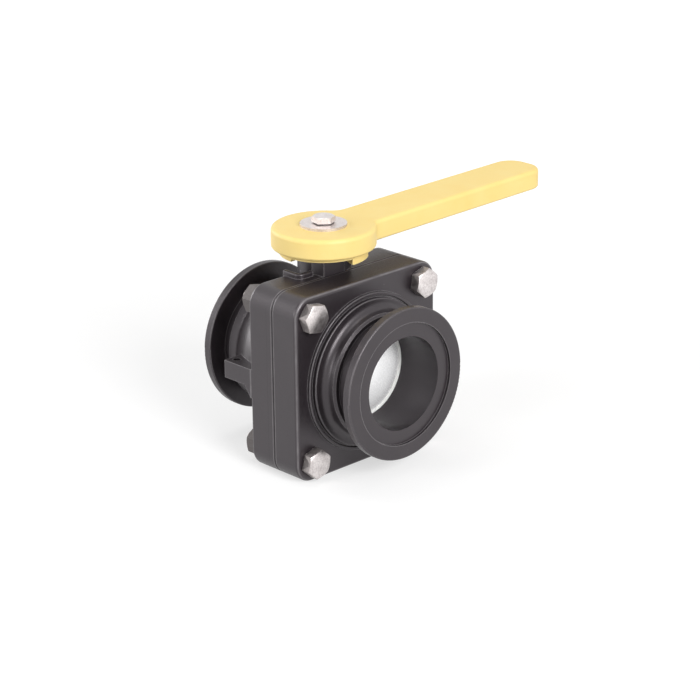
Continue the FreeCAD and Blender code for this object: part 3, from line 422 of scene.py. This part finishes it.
def fastener_steel(name, axis, highlit_ends, shaded_flats):
    """Bolt steel along an axis: ends lighter as a painted highlight, and rougher flats darker as
    painted shade.
    """
    paint = Paint(name)
    cloud = paint.noise(STEEL_CLOUD_SCALE, **COARSE)
    fine = paint.noise(STEEL_GRAIN_SCALE)
    pits = paint.noise(PIT_SCALE, **COARSE)
    patch = paint.span(paint.mixed(cloud, pits, STEEL_CLOUD_SHARE), 0.0, 1.0, *PATCH_FADE)
    # Faces along the axis get the painted highlight, the flats the painted shade
    at_end = paint.span(paint.facing(axis), 0.0, 1.0, *END_FADE)
    flat = paint.blend(patch, *shaded_flats)
    end = paint.blend(patch, *highlit_ends)
    paint.set("Base Color", paint.blend(at_end, flat, end))
    paint.set("Metallic", 1.0)
    dulling = paint.span(at_end, FLAT_DULLING, 0.0, 0.0, 1.0)
    paint.set("Roughness", paint.maths("ADD", paint.span(cloud, *END_ROUGHNESS), dulling))
    dents = paint.bump(cloud, DENT_HEIGHT, strength=0.4)
    paint.bump(fine, STEEL_GRAIN_HEIGHT, strength=0.7, normal=dents)
    return paint


def make_materials():
    """The materials of the slots, and those of single nodes that differ from their slot's."""
    body = moulded("black_plastic", BLACK, roughness=0.37, grain=0.03 * MM, gloss=0.75, lined=True)
    body.set("Specular Tint", BLACK_SHEEN)
    handle = moulded("yellow_plastic", YELLOW, roughness=0.5, grain=0.012 * MM, gloss=0.45)
    stem = moulded("stem_plastic", BLACK, roughness=0.45, grain=0.02 * MM)
    seat = moulded("seat_plastic", SEAT_WHITE, roughness=0.4, grain=0.01 * MM)
    seal = moulded("seal_rubber", RUBBER, roughness=0.6, grain=0.01 * MM)
    ball = moulded("ball_plastic", BALL_WHITE, roughness=0.26, grain=0.004 * MM, gloss=0.8,
                   waviness=0.05)
    insert = turned_steel("insert_steel", *INSERT_STEEL, roughness=0.35, scale=(1, 1, 8))
    slots = {"body_plastic": body,
             "handle_plastic": handle,
             "stem_plastic": stem,
             "seat_plastic": seat,
             "seal_rubber": seal,
             "ball_plastic": ball,
             "insert_steel": insert,
             "fastener_steel": fastener_steel("fastener_steel", "Y", *BODY_BOLT_STEEL)}
    # The nuts are darker all over as painted shade
    own = {"body_nuts": fastener_steel("shaded_nut_steel", "Y", *SHADED_NUT_STEEL),
           "handle_bolt": fastener_steel("handle_bolt_steel", "Z", *HANDLE_BOLT_STEEL),
           "handle_washer": fastener_steel("washer_steel", "Z", *WASHER_STEEL),
           # The lock washer is dark all over as painted shade under the bolt head
           "handle_lock_washer": fastener_steel("shaded_lock_washer_steel", "Z", *SHADED_LOCK_WASHER_STEEL)}
    return ({slot: paint.material for slot, paint in slots.items()},
            {node: paint.material for node, paint in own.items()})


def dress(piece, material):
    piece.data.materials.clear()
    piece.data.materials.append(material)


# Bolts

def turn_heads(shape):
    """Turns each body bolt about its own axis."""
    for (side, level), degrees in HEAD_TURNS.items():
        middle = Vector((side * BOLT_REACH, 0.0, AXIS_HEIGHT + level * BOLT_REACH))
        bolt = [vert for vert in shape.verts
                if vert.co.x * side > 0.0 and (vert.co.z - AXIS_HEIGHT) * level > 0.0]
        turn = Matrix.Rotation(math.radians(-degrees), 3, "Y")
        bmesh.ops.rotate(shape, verts=bolt, cent=middle, matrix=turn)


def cut_tails(shape):
    """Cuts the bolts off where their thread starts to show."""
    everything = shape.verts[:] + shape.edges[:] + shape.faces[:]
    made = bmesh.ops.bisect_plane(shape, geom=everything, plane_co=(0.0, TAIL_START, 0.0),
                                  plane_no=(0.0, 1.0, 0.0), clear_outer=True)
    rims = [item for item in made["geom_cut"] if isinstance(item, bmesh.types.BMEdge)]
    bmesh.ops.holes_fill(shape, edges=rims)


def add_tail(shape, right, up, end):
    """The threaded end of a bolt: one closed surface that follows the helix."""
    rings = []
    for row in range(TAIL_ROWS + 1):
        along = TAIL_START + (end - TAIL_START) * row / TAIL_ROWS
        limit = BOLT_RADIUS - max(0.0, along - end + THREAD_DEPTH)
        ring = []
        for column in range(TAIL_COLUMNS):
            share = column / TAIL_COLUMNS
            phase = (along / THREAD_PITCH + share) % 1.0
            radius = min(limit, BOLT_RADIUS - THREAD_DEPTH * abs(2.0 * phase - 1.0))
            turn = 2.0 * math.pi * share
            place = (right + radius * math.cos(turn), along, up + radius * math.sin(turn))
            ring.append(shape.verts.new(place))
        rings.append(ring)
    for first, second in zip(rings, rings[1:]):
        for column in range(TAIL_COLUMNS):
            after = (column + 1) % TAIL_COLUMNS
            shape.faces.new((first[column], second[column], second[after], first[after]))
    shape.faces.new(rings[0])
    shape.faces.new(rings[-1][::-1])


def make_threaded_bolts(material):
    """The body bolts, turned as in the photograph, with the thread that shows behind the nuts."""
    shape = bmesh.new()
    shape.from_mesh(nodes["body_bolts"].data)
    bmesh.ops.remove_doubles(shape, verts=shape.verts, dist=WELD_DISTANCE)
    turn_heads(shape)
    cut_tails(shape)
    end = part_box("body_bolts")[1][1]
    for right in (-BOLT_REACH, BOLT_REACH):
        for up in (AXIS_HEIGHT - BOLT_REACH, AXIS_HEIGHT + BOLT_REACH):
            add_tail(shape, right, up, end)
    bmesh.ops.recalc_face_normals(shape, faces=shape.faces)
    mesh = bpy.data.meshes.new("threaded_bolts")
    shape.to_mesh(mesh)
    shape.free()
    mesh.shade_smooth()
    mesh.set_sharp_from_angle(angle=math.radians(SHARP_ANGLE))
    bolts = bpy.data.objects.new("threaded_bolts", mesh)
    bpy.context.collection.objects.link(bolts)
    dress(bolts, material)
    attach(bolts, "valve_body")
    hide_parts("body_bolts")


# Stage

def make_world():
    world = bpy.data.worlds.new("studio")
    bpy.context.scene.world = world
    world.use_nodes = True
    sky = Nodes(world.node_tree)
    background = sky.tree.nodes["Background"]
    sky.fill(background.inputs["Color"], WHITE)
    sky.fill(background.inputs["Strength"], sky.light_level(shown=1.0, lighting=WORLD_LIGHT))


def make_floor():
    """A pale floor that keeps the shadow and shows as white further out."""
    mesh = bpy.data.meshes.new("floor")
    shape = bmesh.new()
    bmesh.ops.create_circle(shape, cap_ends=True, segments=FLOOR_SEGMENTS, radius=FLOOR_RADIUS)
    shape.to_mesh(mesh)
    shape.free()
    floor = bpy.data.objects.new("floor", mesh)
    bpy.context.collection.objects.link(floor)
    floor.location.z = -FLOOR_DROP
    paper = Paint("floor_paper")
    paper.set("Base Color", paper.blend(paper.noise(PAPER_SCALE), *FLOOR_COLOURS))
    paper.set("Roughness", 0.9)
    paper.set("Specular IOR Level", 0.0)
    paper.set("Emission Color", WHITE)
    outwards = paper.span(paper.length(paper.place), *FLOOR_GLOW, *FLOOR_GLOW_FADE)
    seen = paper.light_level(shown=1.0, lighting=0.0)
    paper.set("Emission Strength", paper.maths("MULTIPLY", seen, outwards))
    dress(floor, paper.material)


def make_lamp(name, place, width, power):
    data = bpy.data.lights.new(name, "AREA")
    data.shape = "DISK"
    data.size = width
    data.energy = power
    lamp = bpy.data.objects.new(name, data)
    bpy.context.collection.objects.link(lamp)
    lamp.location = place
    aim = Vector(LAMP_TARGET) - Vector(place)
    lamp.rotation_euler = aim.to_track_quat("-Z", "Y").to_euler()


def make_camera():
    azimuth, elevation, roll = (math.radians(angle) for angle in
                                (CAMERA_AZIMUTH, CAMERA_ELEVATION, CAMERA_ROLL))
    back = Vector((math.sin(azimuth) * math.cos(elevation),
                   -math.cos(azimuth) * math.cos(elevation),
                   math.sin(elevation)))
    level = Vector((math.cos(azimuth), math.sin(azimuth), 0.0))
    upright = back.cross(level)
    right = math.cos(roll) * level + math.sin(roll) * upright
    up = -math.sin(roll) * level + math.cos(roll) * upright
    data = bpy.data.cameras.new("camera")
    data.sensor_width = CAMERA_SENSOR
    data.lens = CAMERA_LENS
    data.clip_end = CAMERA_REACH
    camera = bpy.data.objects.new("camera", data)
    bpy.context.collection.objects.link(camera)
    turn = Matrix((right, up, back)).transposed().to_4x4()
    camera.matrix_world = Matrix.Translation(Vector(CAMERA_PLACE) * MM) @ turn
    bpy.context.scene.camera = camera


def main():
    bpy.context.scene.view_settings.view_transform = "Standard"
    make_camera()
    make_world()
    make_floor()
    for name, (place, width, power) in LAMPS.items():
        make_lamp(name, place, width, power)
    materials, own = make_materials()
    slots = {row["node"]: row["material_slot"] for row in frame["record"]["subparts"]}
    for name, node in nodes.items():
        dress(node, own.get(name, materials[slots[name]]))
    make_threaded_bolts(materials["fastener_steel"])


main()
